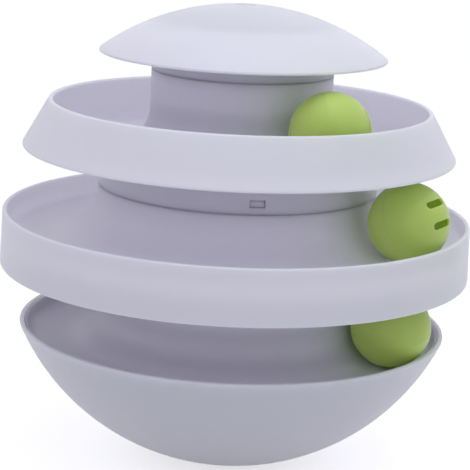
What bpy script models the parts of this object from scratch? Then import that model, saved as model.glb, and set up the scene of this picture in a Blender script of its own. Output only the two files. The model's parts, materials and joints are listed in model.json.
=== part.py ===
"""Three-tier rolling-ball tower for a cat.

A weighted, round-bottomed bowl carries three ring tracks under a domed cap, and a
slotted ball with a bell inside rolls round each track. The tiers snap together.
Units are metres and +Z is up. The tower's axis is Z and the foot's flat is at Z = 0.
Azimuths run from the front, -Y, towards +X.
"""

import math

import bmesh
import bpy
from mathutils import Matrix, Vector

# Ball and the room it runs in
BALL_RADIUS = 0.0204
BALL_WALL = 0.0016
FLOOR_GAP = 0.0003
LOWER_RIM_GAP = 0.0005
MIDDLE_RIM_GAP = 0.0017
UPPER_RIM_GAP = 0.0033
LOWER_PLAY = 0.0010
MIDDLE_PLAY = 0.0056
UPPER_PLAY = 0.0037
LOWER_HEADROOM = 0.0129
MIDDLE_HEADROOM = 0.0011
UPPER_HEADROOM = 0.0088

# Shells
CLEARANCE = 0.0003
WALL = 0.0024
FLOOR_THICKNESS = 0.0020
RIM_ROUND = 0.0010
FLARE_EASE = 0.0020

# Bowl and the track set into it
BOWL_RADIUS = 0.1220
BOWL_WALL = 0.0024
FOOT_RADIUS = 0.0120
LOWER_FLOOR_Z = 0.0642
LOWER_WALL_HEIGHT = 0.0090
TRACK_EDGE = 0.0010
TRACK_EDGE_DROP = 0.0010
DISH_ROUND = 0.0100

# Middle tray
MIDDLE_NECK_RADIUS = 0.0724
MIDDLE_WALL_HEIGHT = 0.0118
SKIRT_DROP = 0.0142
SKIRT_FLARE = 0.0008
SKIRT_ROUND = 0.0006
TRAY_CORNER = 0.0060

# Upper tray
UPPER_NECK_RADIUS = 0.0469
UPPER_WALL_HEIGHT = 0.0252
UPPER_WALL_LEAN = math.radians(29.25)
UPPER_CORNER = 0.0010
UPPER_EDGE_RISE = 0.0030
UPPER_EDGE_WIDTH = 0.0140

# Cap and the plug in its crown
CAP_RADIUS = 0.0738
CAP_LIP = 0.0012
CAP_LIP_ROUND = 0.0006
CAP_DOME_HEIGHT = 0.0247
CAP_COLLAR_DROP = 0.0082
PLUG_RADIUS = 0.0050
PLUG_THICKNESS = 0.0020
PLUG_SUNK = 0.0007
PLUG_STEM_RADIUS = 0.0034
PLUG_STEM_LENGTH = 0.0050
PLUG_BOSS_WALL = 0.0018

# Snapped seams: a collar drops over a ring, and two fingers hook into its windows
COLLAR_DROP = 0.0162
RING_HEIGHT = 0.0115
SHELF_WIDTH = 0.0030
SHELF_THICKNESS = 0.0020
FINGER_REACH = 0.0140
FINGER_RISE = 0.0082
FINGER_THICKNESS = 0.0020
FINGER_WIDTH = 0.0076
HOOK_WIDTH = 0.0066
HOOK_BOTTOM = 0.0039
HOOK_TOP = 0.0065
HOOK_SHY = 0.0007
HOOK_LEAD = 0.0009
WINDOW_WIDTH = 0.0076
WINDOW_BOTTOM = 0.0035
WINDOW_TOP = 0.0073
UPPER_LATCH_AZIMUTH = math.radians(8)
CAP_LATCH_AZIMUTH = math.radians(98)
MIDDLE_LATCH_AZIMUTH = math.radians(98)

# Ballast on the bowl's centre post
BALLAST_RADIUS = 0.0390
BALLAST_HEIGHT = 0.0080
BALLAST_SEAT_WIDTH = 0.0040
BALLAST_SEAT_RISE = 0.0015
POST_RADIUS = 0.0060
POST_SHORT = 0.0005
WASHER_RADIUS = 0.0140
WASHER_THICKNESS = 0.0015
SCREW_RADIUS = 0.0015
SCREW_LENGTH = 0.0100
SCREW_HEAD_RADIUS = 0.0034
SCREW_HEAD_HEIGHT = 0.0024

# Ball details
SLOT_LENGTH = 0.0146
SLOT_WIDTH = 0.0034
SLOT_SPACING = 0.0106
LIP_DEPTH = 0.0010
BELL_RADIUS = 0.0070
BELL_WALL = 0.0006
BELL_EYE = 0.0014
BELL_ROOM = 0.0009
PEA_RADIUS = 0.0018
PEA_ROOM = 0.0006

# Fineness of the turned shapes
SEGMENTS = 36
BALL_SEGMENTS = 20
SMALL_SEGMENTS = 16
BELL_SEGMENTS = 12
PEA_SEGMENTS = 8
FILLET_CHORD = 0.0065
DOME_STEPS = 6
UNDERSIDE_STEPS = 3
EDGE_STEPS = 2
BALL_STEPS = 4
BELL_STEPS = 3
PEA_STEPS = 2
SLOT_END_STEPS = 4
SMOOTH_ANGLE = math.radians(35)

# Where each ball stands, and how its slotted pole points: azimuth, elevation, spin
BALL_AZIMUTHS = {"lower": 63.0, "middle": 60.4, "upper": 38.2}
BALL_POLES = {"lower": (-8.0, 74.0, 0.0), "middle": (52.1, 24.1, 94.0), "upper": (89.8, 12.1, 153.0)}

# Heights, floor by floor
FACET = math.cos(math.pi / SEGMENTS)
BALL_LIFT = FLOOR_GAP + BALL_RADIUS
MIDDLE_FLOOR_Z = LOWER_FLOOR_Z + BALL_LIFT + BALL_RADIUS + LOWER_HEADROOM + FLOOR_THICKNESS
UPPER_FLOOR_Z = MIDDLE_FLOOR_Z + BALL_LIFT + BALL_RADIUS + MIDDLE_HEADROOM + FLOOR_THICKNESS
CAP_LIP_Z = UPPER_FLOOR_Z + BALL_LIFT + BALL_RADIUS + UPPER_HEADROOM
BOWL_RIM_Z = LOWER_FLOOR_Z + LOWER_WALL_HEIGHT
MIDDLE_RIM_Z = MIDDLE_FLOOR_Z + MIDDLE_WALL_HEIGHT
UPPER_RIM_Z = UPPER_FLOOR_Z + UPPER_WALL_HEIGHT
MIDDLE_SEAM_Z = MIDDLE_FLOOR_Z - FLOOR_THICKNESS - COLLAR_DROP
UPPER_SEAM_Z = UPPER_FLOOR_Z - FLOOR_THICKNESS - COLLAR_DROP
CAP_SEAM_Z = CAP_LIP_Z - CAP_COLLAR_DROP

# Bowl sphere, and the track that it leaves room for
BOWL_CENTRE_Z = math.sqrt(BOWL_RADIUS**2 - FOOT_RADIUS**2)
BOWL_INSIDE = BOWL_RADIUS - BOWL_WALL


def sphere_width(radius, z):
    """Radius of the bowl's concentric sphere at a height."""
    return math.sqrt(radius**2 - (BOWL_CENTRE_Z - z) ** 2)


def rim_reach(floor_z, rim_z, gap):
    """How far outside a ball's centre a wall of that height may begin."""
    below = max(floor_z + BALL_LIFT - rim_z, 0)
    return math.sqrt((BALL_RADIUS + gap) ** 2 - below**2)


TRACK_EDGE_Z = BOWL_RIM_Z - TRACK_EDGE_DROP
TRACK_OUTSIDE = BOWL_INSIDE - CLEARANCE
TRACK_EDGE_INNER = sphere_width(TRACK_OUTSIDE, TRACK_EDGE_Z) - TRACK_EDGE
LOWER_ORBIT = TRACK_EDGE_INNER * FACET - rim_reach(LOWER_FLOOR_Z, TRACK_EDGE_Z, LOWER_RIM_GAP)
LOWER_NECK_RADIUS = LOWER_ORBIT - BALL_RADIUS - LOWER_PLAY
MIDDLE_ORBIT = MIDDLE_NECK_RADIUS + MIDDLE_PLAY + BALL_RADIUS
UPPER_ORBIT = UPPER_NECK_RADIUS + UPPER_PLAY + BALL_RADIUS
MIDDLE_REACH = rim_reach(MIDDLE_FLOOR_Z, MIDDLE_RIM_Z, MIDDLE_RIM_GAP)
MIDDLE_RIM_INNER = (MIDDLE_ORBIT + MIDDLE_REACH) / FACET

# Ballast heights
BALLAST_SEAT_Z = BOWL_CENTRE_Z - math.sqrt(BOWL_INSIDE**2 - BALLAST_RADIUS**2) + BALLAST_SEAT_RISE
BALLAST_Z = BALLAST_SEAT_Z + CLEARANCE
WASHER_Z = BALLAST_Z + BALLAST_HEIGHT + CLEARANCE
SCREW_HEAD_Z = WASHER_Z + WASHER_THICKNESS + CLEARANCE
SCREW_TIP_Z = SCREW_HEAD_Z - SCREW_LENGTH

# Cap dome: a sphere through the lip's top edge
CAP_EDGE_Z = CAP_LIP_Z + CAP_LIP
CAP_TOP_Z = CAP_EDGE_Z + CAP_DOME_HEIGHT
DOME_RADIUS = (CAP_RADIUS**2 + CAP_DOME_HEIGHT**2) / (2 * CAP_DOME_HEIGHT)
DOME_CENTRE_Z = CAP_TOP_Z - DOME_RADIUS
PLUG_TOP_Z = CAP_TOP_Z - PLUG_SUNK
PLUG_SEAT_Z = PLUG_TOP_Z - PLUG_THICKNESS - CLEARANCE
PLUG_BOSS_Z = PLUG_SEAT_Z - PLUG_STEM_LENGTH


def material(name, colour, roughness, metallic=0.0):
    """A Principled material with the piece's own colour."""
    made = bpy.data.materials.new(name)
    made.use_nodes = True
    shader = made.node_tree.nodes["Principled BSDF"]
    shader.inputs["Base Color"].default_value = (*colour, 1.0)
    shader.inputs["Roughness"].default_value = roughness
    shader.inputs["Metallic"].default_value = metallic
    return made


def shell_material(name):
    """Pale satin plastic of the tower's mouldings."""
    return material(name, (0.72, 0.72, 0.82), 0.45)


def ball_material(name):
    """Lime green plastic of the balls."""
    return material(name, (0.36, 0.58, 0.10), 0.45)


def steel_material(name):
    """Plated steel."""
    return material(name, (0.55, 0.55, 0.56), 0.35, 1.0)


def brass_material(name):
    """Yellow metal of the bells."""
    return material(name, (0.78, 0.57, 0.22), 0.30, 1.0)


def rounded(corners, closed=True):
    """Outline through corners of (radius, height, fillet), with each fillet as an arc."""
    outline = []
    count = len(corners)
    for index, (radius, height, fillet) in enumerate(corners):
        at_end = index in (0, count - 1) and not closed
        if fillet == 0 or at_end:
            outline.append((radius, height))
            continue
        here = Vector((radius, height))
        back = (Vector(corners[index - 1][:2]) - here).normalized()
        ahead = (Vector(corners[(index + 1) % count][:2]) - here).normalized()
        angle = back.angle(ahead)
        centre = here + (back + ahead).normalized() * fillet / math.sin(angle / 2)
        first = here + back * fillet / math.tan(angle / 2) - centre
        sweep = math.copysign(math.pi - angle, ahead.cross(back))
        steps = max(1, math.ceil(abs(sweep) * fillet / FILLET_CHORD))
        for step in range(steps + 1):
            point = centre + Matrix.Rotation(sweep * step / steps, 2) @ first
            outline.append((point.x, point.y))
    return outline


def sphere_arc(centre_z, radius, start, end, steps, side):
    """Corners along a sphere between two widths, on its upper (+1) or lower (-1) side."""
    first = math.asin(start / radius)
    last = math.asin(end / radius)
    angles = [first + (last - first) * step / steps for step in range(steps + 1)]
    return [(radius * math.sin(a), centre_z + side * radius * math.cos(a), 0) for a in angles]


def finish(name, mesh, look):
    """Make an object of a bmesh and shade its round faces smooth."""
    bmesh.ops.remove_doubles(mesh, verts=mesh.verts, dist=1e-6)
    bmesh.ops.recalc_face_normals(mesh, faces=mesh.faces)
    data = bpy.data.meshes.new(name)
    mesh.to_mesh(data)
    mesh.free()
    data.shade_smooth()
    data.set_sharp_from_angle(angle=SMOOTH_ANGLE)
    data.materials.append(look)
    made = bpy.data.objects.new(name, data)
    bpy.context.scene.collection.objects.link(made)
    return made


def lathe(name, outline, look, segments=SEGMENTS):
    """Turn an outline about Z. An outline that starts on the axis also ends on it."""
    mesh = bmesh.new()
    points = [mesh.verts.new((radius, 0, height)) for radius, height in outline]
    edges = [mesh.edges.new(pair) for pair in zip(points, points[1:])]
    if outline[0][0] > 0:
        edges.append(mesh.edges.new((points[-1], points[0])))
    bmesh.ops.spin(
        mesh,
        geom=points + edges,
        cent=(0, 0, 0),
        axis=(0, 0, 1),
        angle=math.tau,
        steps=segments,
        use_merge=True,
    )
    return finish(name, mesh, look)


def plate(name, outline, width, look):
    """Extrude an outline in the radial plane to a width across it."""
    mesh = bmesh.new()
    face = mesh.faces.new([mesh.verts.new((radius, -width / 2, height)) for radius, height in outline])
    grown = bmesh.ops.extrude_face_region(mesh, geom=[face])
    moved = [item for item in grown["geom"] if isinstance(item, bmesh.types.BMVert)]
    bmesh.ops.translate(mesh, verts=moved, vec=(0, width, 0))
    return finish(name, mesh, look)


def turned_to(azimuth):
    """Rotation that carries the X axis to an azimuth."""
    return Matrix.Rotation(azimuth - math.pi / 2, 4, "Z")


def cut(target, cutter):
    """Take a hidden cutter away from an object."""
    cutter.hide_render = True
    cutter.display_type = "WIRE"
    hole = target.modifiers.new(cutter.name, "BOOLEAN")
    hole.object = cutter
    hole.operation = "DIFFERENCE"
    hole.solver = "EXACT"


def snap_neck(radius, seam_z, inner):
    """Corners up a neck's inside, over its snap ring and down to its shoulder."""
    ring_outer = radius - WALL - CLEARANCE
    ring_inner = ring_outer - WALL
    shoulder = seam_z - CLEARANCE
    shelf_top = seam_z - FINGER_REACH - CLEARANCE
    shelf_inner = min(inner, ring_inner) - SHELF_WIDTH
    return [
        (inner, shelf_top - SHELF_THICKNESS, 0),
        (shelf_inner, shelf_top - SHELF_THICKNESS, 0),
        (shelf_inner, shelf_top, 0),
        (ring_inner, shelf_top, 0),
        (ring_inner, seam_z + RING_HEIGHT, 0),
        (ring_outer, seam_z + RING_HEIGHT, 0),
        (ring_outer, shoulder, 0),
        (radius, shoulder, 0),
    ]


def collar(radius, seam_z):
    """Corners across the open end of a collar that drops over a snap ring."""
    return [(radius, seam_z, 0), (radius - WALL, seam_z, 0)]


def flare_back(neck, floor_z, flare, inner):
    """Two corners of the slope that hollows out the back of a flare, down to its foot."""
    slope = neck + floor_z + (2 - math.sqrt(2)) * flare - math.sqrt(2) * FLOOR_THICKNESS
    under = floor_z - FLOOR_THICKNESS
    return [(slope - under, under, 0), (inner, slope - inner, 0)]


def flare_of(play):
    """Radius of the flare between a neck and its floor."""
    return play + BALL_RADIUS - FLARE_EASE


def make_bowl():
    """Round-bottomed shell with a ballast seat and a centre post."""
    seat_inner = BALLAST_RADIUS - BALLAST_SEAT_WIDTH
    pilot = SCREW_RADIUS + CLEARANCE
    post_top = BALLAST_Z + BALLAST_HEIGHT - POST_SHORT
    rim_inner = sphere_width(BOWL_INSIDE, BOWL_RIM_Z)
    rim_outer = sphere_width(BOWL_RADIUS, BOWL_RIM_Z)
    corners = [(0, SCREW_TIP_Z - CLEARANCE, 0), (pilot, SCREW_TIP_Z - CLEARANCE, 0)]
    corners += [(pilot, post_top, 0), (POST_RADIUS, post_top, 0)]
    corners += sphere_arc(BOWL_CENTRE_Z, BOWL_INSIDE, POST_RADIUS, seat_inner, EDGE_STEPS, -1)
    corners += [(seat_inner, BALLAST_SEAT_Z, 0), (BALLAST_RADIUS, BALLAST_SEAT_Z, 0)]
    corners += sphere_arc(BOWL_CENTRE_Z, BOWL_INSIDE, BALLAST_RADIUS, rim_inner, DOME_STEPS, -1)[:-1]
    corners += [(rim_inner, BOWL_RIM_Z, RIM_ROUND), (rim_outer, BOWL_RIM_Z, RIM_ROUND)]
    corners += sphere_arc(BOWL_CENTRE_Z, BOWL_RADIUS, rim_outer, FOOT_RADIUS, DOME_STEPS + 2, -1)[1:]
    corners += [(0, 0, 0)]
    return lathe("base_bowl", rounded(corners, closed=False), shell_material("bowl_plastic"))


def make_ballast():
    """Cast weight over the post, held by a washer and a screw."""
    bore = POST_RADIUS + CLEARANCE
    top = BALLAST_Z + BALLAST_HEIGHT
    weight = [
        (bore, BALLAST_Z, 0),
        (bore, top, 0),
        (BALLAST_RADIUS, top, RIM_ROUND),
        (BALLAST_RADIUS, BALLAST_Z, RIM_ROUND),
    ]
    lathe("ballast_weight", rounded(weight), material("cast_iron", (0.10, 0.10, 0.11), 0.6, 1.0))
    hole = SCREW_RADIUS + CLEARANCE
    washer_top = WASHER_Z + WASHER_THICKNESS
    washer = [(hole, WASHER_Z), (hole, washer_top), (WASHER_RADIUS, washer_top), (WASHER_RADIUS, WASHER_Z)]
    lathe("ballast_washer", washer, steel_material("washer_steel"), SMALL_SEGMENTS)
    head_top = SCREW_HEAD_Z + SCREW_HEAD_HEIGHT
    screw = [
        (0, SCREW_TIP_Z, 0),
        (SCREW_RADIUS, SCREW_TIP_Z + SCREW_RADIUS, 0),
        (SCREW_RADIUS, SCREW_HEAD_Z, 0),
        (SCREW_HEAD_RADIUS, SCREW_HEAD_Z, 0),
        (SCREW_HEAD_RADIUS, head_top, SCREW_HEAD_HEIGHT / 2),
        (0, head_top, 0),
    ]
    lathe("ballast_screw", rounded(screw, closed=False), steel_material("screw_steel"), SMALL_SEGMENTS)


def make_lower_track():
    """Dish that fills the bowl's mouth, with the neck that carries the middle tray."""
    flare = flare_of(LOWER_PLAY)
    inner = LOWER_NECK_RADIUS - WALL
    under = LOWER_FLOOR_Z - FLOOR_THICKNESS
    edge_outer = sphere_width(TRACK_OUTSIDE, TRACK_EDGE_Z)
    foot_outer = sphere_width(TRACK_OUTSIDE, under)
    slant = (edge_outer - sphere_width(TRACK_OUTSIDE, LOWER_FLOOR_Z)) * FACET
    corners = sphere_arc(BOWL_CENTRE_Z, TRACK_OUTSIDE, edge_outer, foot_outer, EDGE_STEPS, -1)
    corners += flare_back(LOWER_NECK_RADIUS, LOWER_FLOOR_Z, flare, inner)
    corners += snap_neck(LOWER_NECK_RADIUS, MIDDLE_SEAM_Z, inner)
    corners += [(LOWER_NECK_RADIUS, LOWER_FLOOR_Z, flare)]
    corners += [(TRACK_EDGE_INNER - slant, LOWER_FLOOR_Z, DISH_ROUND), (TRACK_EDGE_INNER, TRACK_EDGE_Z, 0)]
    return lathe("lower_track", rounded(corners), shell_material("lower_track_plastic"))


def make_middle_tray():
    """Tray with a straight wall that hangs below its floor as a skirt."""
    flare = flare_of(MIDDLE_PLAY)
    under = MIDDLE_FLOOR_Z - FLOOR_THICKNESS
    skirt_z = under - SKIRT_DROP
    rim_outer = MIDDLE_RIM_INNER + WALL
    skirt_outer = rim_outer + SKIRT_FLARE
    collar_inner = LOWER_NECK_RADIUS - WALL
    corners = [(rim_outer, MIDDLE_RIM_Z, RIM_ROUND)]
    corners += [(skirt_outer, skirt_z, SKIRT_ROUND), (skirt_outer - WALL, skirt_z, 0)]
    corners += [(MIDDLE_RIM_INNER, under, 0)]
    corners += flare_back(MIDDLE_NECK_RADIUS, MIDDLE_FLOOR_Z, flare, LOWER_NECK_RADIUS)
    corners += collar(LOWER_NECK_RADIUS, MIDDLE_SEAM_Z)
    corners += snap_neck(MIDDLE_NECK_RADIUS, UPPER_SEAM_Z, collar_inner)
    corners += [(MIDDLE_NECK_RADIUS, MIDDLE_FLOOR_Z, flare)]
    corners += [(MIDDLE_RIM_INNER, MIDDLE_FLOOR_Z, TRAY_CORNER)]
    corners += [(MIDDLE_RIM_INNER, MIDDLE_RIM_Z, RIM_ROUND)]
    return lathe("middle_tray", rounded(corners), shell_material("middle_tray_plastic"))


def lean_wall(z):
    """Inside radius of the upper tray's leaning wall, which a ball clears."""
    rise = z - UPPER_FLOOR_Z - BALL_LIFT
    reach = BALL_RADIUS + UPPER_RIM_GAP - rise * math.sin(UPPER_WALL_LEAN)
    return (UPPER_ORBIT + reach / math.cos(UPPER_WALL_LEAN)) / FACET


def make_upper_tray():
    """Tray with a wall that leans in over the ball, and an underside that rises to the wall's foot."""
    flare = flare_of(UPPER_PLAY)
    under = UPPER_FLOOR_Z - FLOOR_THICKNESS
    edge_z = under + UPPER_EDGE_RISE
    thick = WALL / math.cos(UPPER_WALL_LEAN)
    inner = UPPER_NECK_RADIUS - WALL
    corners = [(lean_wall(UPPER_RIM_Z) + thick, UPPER_RIM_Z, RIM_ROUND)]
    edge = lean_wall(edge_z) + thick
    corners += [(edge, edge_z, UPPER_CORNER), (edge - UPPER_EDGE_WIDTH, under, 0)]
    corners += [(MIDDLE_NECK_RADIUS, under, 0)]
    corners += collar(MIDDLE_NECK_RADIUS, UPPER_SEAM_Z)
    corners += [(MIDDLE_NECK_RADIUS - WALL, under, 0)]
    corners += flare_back(UPPER_NECK_RADIUS, UPPER_FLOOR_Z, flare, inner)
    corners += snap_neck(UPPER_NECK_RADIUS, CAP_SEAM_Z, inner)
    corners += [(UPPER_NECK_RADIUS, UPPER_FLOOR_Z, flare)]
    corners += [(lean_wall(UPPER_FLOOR_Z), UPPER_FLOOR_Z, TRAY_CORNER)]
    corners += [(lean_wall(UPPER_RIM_Z), UPPER_RIM_Z, RIM_ROUND)]
    return lathe("upper_tray", rounded(corners), shell_material("upper_tray_plastic"))


def make_cap():
    """Domed cap with a collar below it and a socket for the plug in its crown."""
    inside = DOME_RADIUS - WALL
    socket = PLUG_RADIUS + CLEARANCE
    stem = PLUG_STEM_RADIUS + CLEARANCE
    boss = socket + PLUG_BOSS_WALL
    lip_inner = CAP_RADIUS - WALL
    collar_inner = UPPER_NECK_RADIUS - WALL
    corners = sphere_arc(DOME_CENTRE_Z, DOME_RADIUS, socket, CAP_RADIUS, DOME_STEPS, 1)[:-1]
    corners += [(CAP_RADIUS, CAP_EDGE_Z, CAP_LIP_ROUND), (CAP_RADIUS, CAP_LIP_Z, 0)]
    corners += sphere_arc(DOME_CENTRE_Z, inside, lip_inner, UPPER_NECK_RADIUS, EDGE_STEPS, 1)
    corners += collar(UPPER_NECK_RADIUS, CAP_SEAM_Z)
    corners += sphere_arc(DOME_CENTRE_Z, inside, collar_inner, boss, UNDERSIDE_STEPS, 1)
    corners += [(boss, PLUG_BOSS_Z, 0), (stem, PLUG_BOSS_Z, 0)]
    corners += [(stem, PLUG_SEAT_Z, 0), (socket, PLUG_SEAT_Z, 0)]
    return lathe("top_cap", rounded(corners), shell_material("cap_plastic"))


def make_plug():
    """Round plug sunk into the crown's socket."""
    head = PLUG_SEAT_Z + CLEARANCE
    outline = [(0, PLUG_BOSS_Z), (PLUG_STEM_RADIUS, PLUG_BOSS_Z), (PLUG_STEM_RADIUS, head)]
    outline += [(PLUG_RADIUS, head), (PLUG_RADIUS, PLUG_TOP_Z), (0, PLUG_TOP_Z)]
    return lathe("crown_plug", outline, shell_material("plug_plastic"), SMALL_SEGMENTS)


def block(name, inner, outer, bottom, top, width, azimuth):
    """Box across a radius at an azimuth, for cutting windows."""
    outline = [(inner, bottom), (outer, bottom), (outer, top), (inner, top)]
    made = plate(name, outline, width, shell_material(name))
    made.matrix_world = turned_to(azimuth)
    return made


def make_latches(seam, radius, seam_z, first_azimuth, neck, cover):
    """Two sprung fingers inside a neck that hook through the cover's collar windows."""
    ring_inner = radius - 2 * WALL - CLEARANCE
    outer = math.sqrt((ring_inner * FACET - CLEARANCE) ** 2 - (HOOK_WIDTH / 2) ** 2)
    root = outer - FINGER_THICKNESS / 2
    bottom = seam_z - FINGER_REACH
    window_bottom = seam_z + WINDOW_BOTTOM
    window_top = seam_z + WINDOW_TOP
    for side, azimuth in (("a", first_azimuth), ("b", first_azimuth + math.pi)):
        window = (radius - WALL - FINGER_THICKNESS, radius + WALL, window_bottom, window_top)
        cut(cover, block(f"{seam}_window_{side}", *window, WINDOW_WIDTH, azimuth))
        notch_width = FINGER_WIDTH + 2 * CLEARANCE
        notch_bottom = window_bottom - CLEARANCE
        notch_top = seam_z + RING_HEIGHT + WALL
        notch = (outer - FINGER_THICKNESS, radius - WALL / 2, notch_bottom, notch_top)
        cut(neck, block(f"{seam}_notch_{side}", *notch, notch_width, azimuth))
        hook = radius - HOOK_SHY
        outline = [
            (outer - FINGER_THICKNESS, bottom),
            (outer, bottom),
            (outer, seam_z + HOOK_BOTTOM),
            (hook, seam_z + HOOK_BOTTOM),
            (hook, seam_z + HOOK_TOP - HOOK_LEAD),
            (hook - HOOK_LEAD, seam_z + HOOK_TOP),
            (outer, seam_z + HOOK_TOP),
            (outer, seam_z + FINGER_RISE),
            (outer - FINGER_THICKNESS, seam_z + FINGER_RISE),
        ]
        local = [(r - root, z - bottom) for r, z in outline]
        name = f"{seam}_latch_{side}"
        finger = plate(name, local, HOOK_WIDTH, shell_material(f"{name}_plastic"))
        finger.matrix_world = turned_to(azimuth) @ Matrix.Translation((root, 0, bottom))


def half_shell_outlines():
    """Outlines of the two halves of a ball: one with a lip, one with the rebate for it."""
    inside = BALL_RADIUS - BALL_WALL
    middle = BALL_RADIUS - BALL_WALL / 2
    half_gap = CLEARANCE / 2
    lip = middle - half_gap
    rebate = middle + half_gap
    rebate_z = LIP_DEPTH + CLEARANCE
    equator = math.sqrt(BALL_RADIUS**2 - half_gap**2)
    step_in = math.sqrt(inside**2 - rebate_z**2)
    lipped = sphere_arc(0, BALL_RADIUS, 0, equator, BALL_STEPS, 1)
    lipped += [(lip, half_gap, 0), (lip, -LIP_DEPTH, 0), (inside, -LIP_DEPTH, 0)]
    lipped += sphere_arc(0, inside, inside, 0, BALL_STEPS, 1)
    rebated = sphere_arc(0, BALL_RADIUS, 0, equator, BALL_STEPS, -1)
    rebated += [(rebate, -half_gap, 0), (rebate, -rebate_z, 0)]
    rebated += sphere_arc(0, inside, step_in, 0, BALL_STEPS, -1)
    return {"lipped": rounded(lipped, closed=False), "rebated": rounded(rebated, closed=False)}


def slot_cutter(name, place):
    """Two parallel round-ended bars right through a ball's poles."""
    mesh = bmesh.new()
    straight = (SLOT_LENGTH - SLOT_WIDTH) / 2
    for offset in (-SLOT_SPACING / 2, SLOT_SPACING / 2):
        ring = []
        for end in (1, -1):
            for step in range(SLOT_END_STEPS + 1):
                angle = (step / SLOT_END_STEPS - 0.5) * math.pi
                along = end * (straight + SLOT_WIDTH / 2 * math.cos(angle))
                across = offset + end * SLOT_WIDTH / 2 * math.sin(angle)
                ring.append(mesh.verts.new((along, across, -2 * BALL_RADIUS)))
        face = mesh.faces.new(ring)
        grown = bmesh.ops.extrude_face_region(mesh, geom=[face])
        moved = [item for item in grown["geom"] if isinstance(item, bmesh.types.BMVert)]
        bmesh.ops.translate(mesh, verts=moved, vec=(0, 0, 4 * BALL_RADIUS))
    made = finish(name, mesh, ball_material(name))
    made.matrix_world = place
    return made


def pea_outline():
    """Outline of the pea that rattles in a bell."""
    corners = sphere_arc(0, PEA_RADIUS, 0, PEA_RADIUS, PEA_STEPS, -1)
    corners += sphere_arc(0, PEA_RADIUS, PEA_RADIUS, 0, PEA_STEPS, 1)[1:]
    return rounded(corners, closed=False)


def bell_outline():
    """Outline of a round bell's wall, from its closed foot to the eye on top and back."""
    inside = BELL_RADIUS - BELL_WALL
    corners = sphere_arc(0, BELL_RADIUS, 0, BELL_RADIUS, BELL_STEPS, -1)
    corners += sphere_arc(0, BELL_RADIUS, BELL_RADIUS, BELL_EYE, BELL_STEPS, 1)[1:]
    corners += sphere_arc(0, inside, BELL_EYE, inside, BELL_STEPS, 1)
    corners += sphere_arc(0, inside, inside, 0, BELL_STEPS, -1)[1:]
    return rounded(corners, closed=False)


def make_ball(tier, orbit, floor_z):
    """A slotted two-part ball with a bell inside, parented to an empty on the tower's axis."""
    centre_z = floor_z + BALL_LIFT
    axis = bpy.data.objects.new(f"{tier}_orbit_axis", None)
    bpy.context.scene.collection.objects.link(axis)
    axis.matrix_world = turned_to(math.radians(BALL_AZIMUTHS[tier]))
    centre = axis.matrix_world @ Matrix.Translation((orbit, 0, centre_z))
    azimuth, elevation, spin = (math.radians(angle) for angle in BALL_POLES[tier])
    tilt = Matrix.Rotation(math.pi / 2 - elevation, 4, "Y")
    turned = turned_to(azimuth) @ tilt @ Matrix.Rotation(spin, 4, "Z")
    place = Matrix.Translation(centre.translation) @ turned
    slots = slot_cutter(f"{tier}_ball_slots", place)
    pieces = []
    for half, outline in half_shell_outlines().items():
        name = f"{tier}_ball_{half}_half"
        shell = lathe(name, outline, ball_material(f"{name}_plastic"), BALL_SEGMENTS)
        shell.matrix_world = place
        cut(shell, slots)
        pieces.append(shell)
    drop = BALL_RADIUS - BALL_WALL - BELL_RADIUS - BELL_ROOM
    bell_place = centre @ Matrix.Translation((0, 0, -drop))
    bell = lathe(f"{tier}_bell", bell_outline(), brass_material(f"{tier}_bell_brass"), BELL_SEGMENTS)
    bell.matrix_world = bell_place
    pieces.append(bell)
    pea_drop = BELL_RADIUS - BELL_WALL - PEA_RADIUS - PEA_ROOM
    pea = lathe(f"{tier}_bell_pea", pea_outline(), steel_material(f"{tier}_pea_steel"), PEA_SEGMENTS)
    pea.matrix_world = bell_place @ Matrix.Translation((0, 0, -pea_drop))
    pieces.append(pea)
    for piece in pieces + [slots]:
        piece.parent = axis
        piece.matrix_parent_inverse = axis.matrix_world.inverted()


def main():
    """Clear the scene and build the tower from the bowl up."""
    for old in list(bpy.data.objects):
        bpy.data.objects.remove(old, do_unlink=True)
    make_bowl()
    make_ballast()
    track = make_lower_track()
    middle = make_middle_tray()
    upper = make_upper_tray()
    cap = make_cap()
    make_plug()
    make_latches("middle", LOWER_NECK_RADIUS, MIDDLE_SEAM_Z, MIDDLE_LATCH_AZIMUTH, track, middle)
    make_latches("upper", MIDDLE_NECK_RADIUS, UPPER_SEAM_Z, UPPER_LATCH_AZIMUTH, middle, upper)
    make_latches("cap", UPPER_NECK_RADIUS, CAP_SEAM_Z, CAP_LATCH_AZIMUTH, upper, cap)
    make_ball("lower", LOWER_ORBIT, LOWER_FLOOR_Z)
    make_ball("middle", MIDDLE_ORBIT, MIDDLE_FLOOR_Z)
    make_ball("upper", UPPER_ORBIT, UPPER_FLOOR_Z)


if __name__ == "__main__":
    main()
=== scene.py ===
"""Looks of a three-tier rolling-ball tower for a cat: fine mouldings, slotted balls and the stage.

Units are metres and +Z is up. The tower's axis is Z and its foot's flat is at Z = 0.
Azimuths run from the front, -Y, towards +X.
"""

import json
import math

import bmesh
import bpy
from bpy.props import FloatProperty, FloatVectorProperty, IntProperty, PointerProperty
from mathutils import Matrix, Vector

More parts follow.
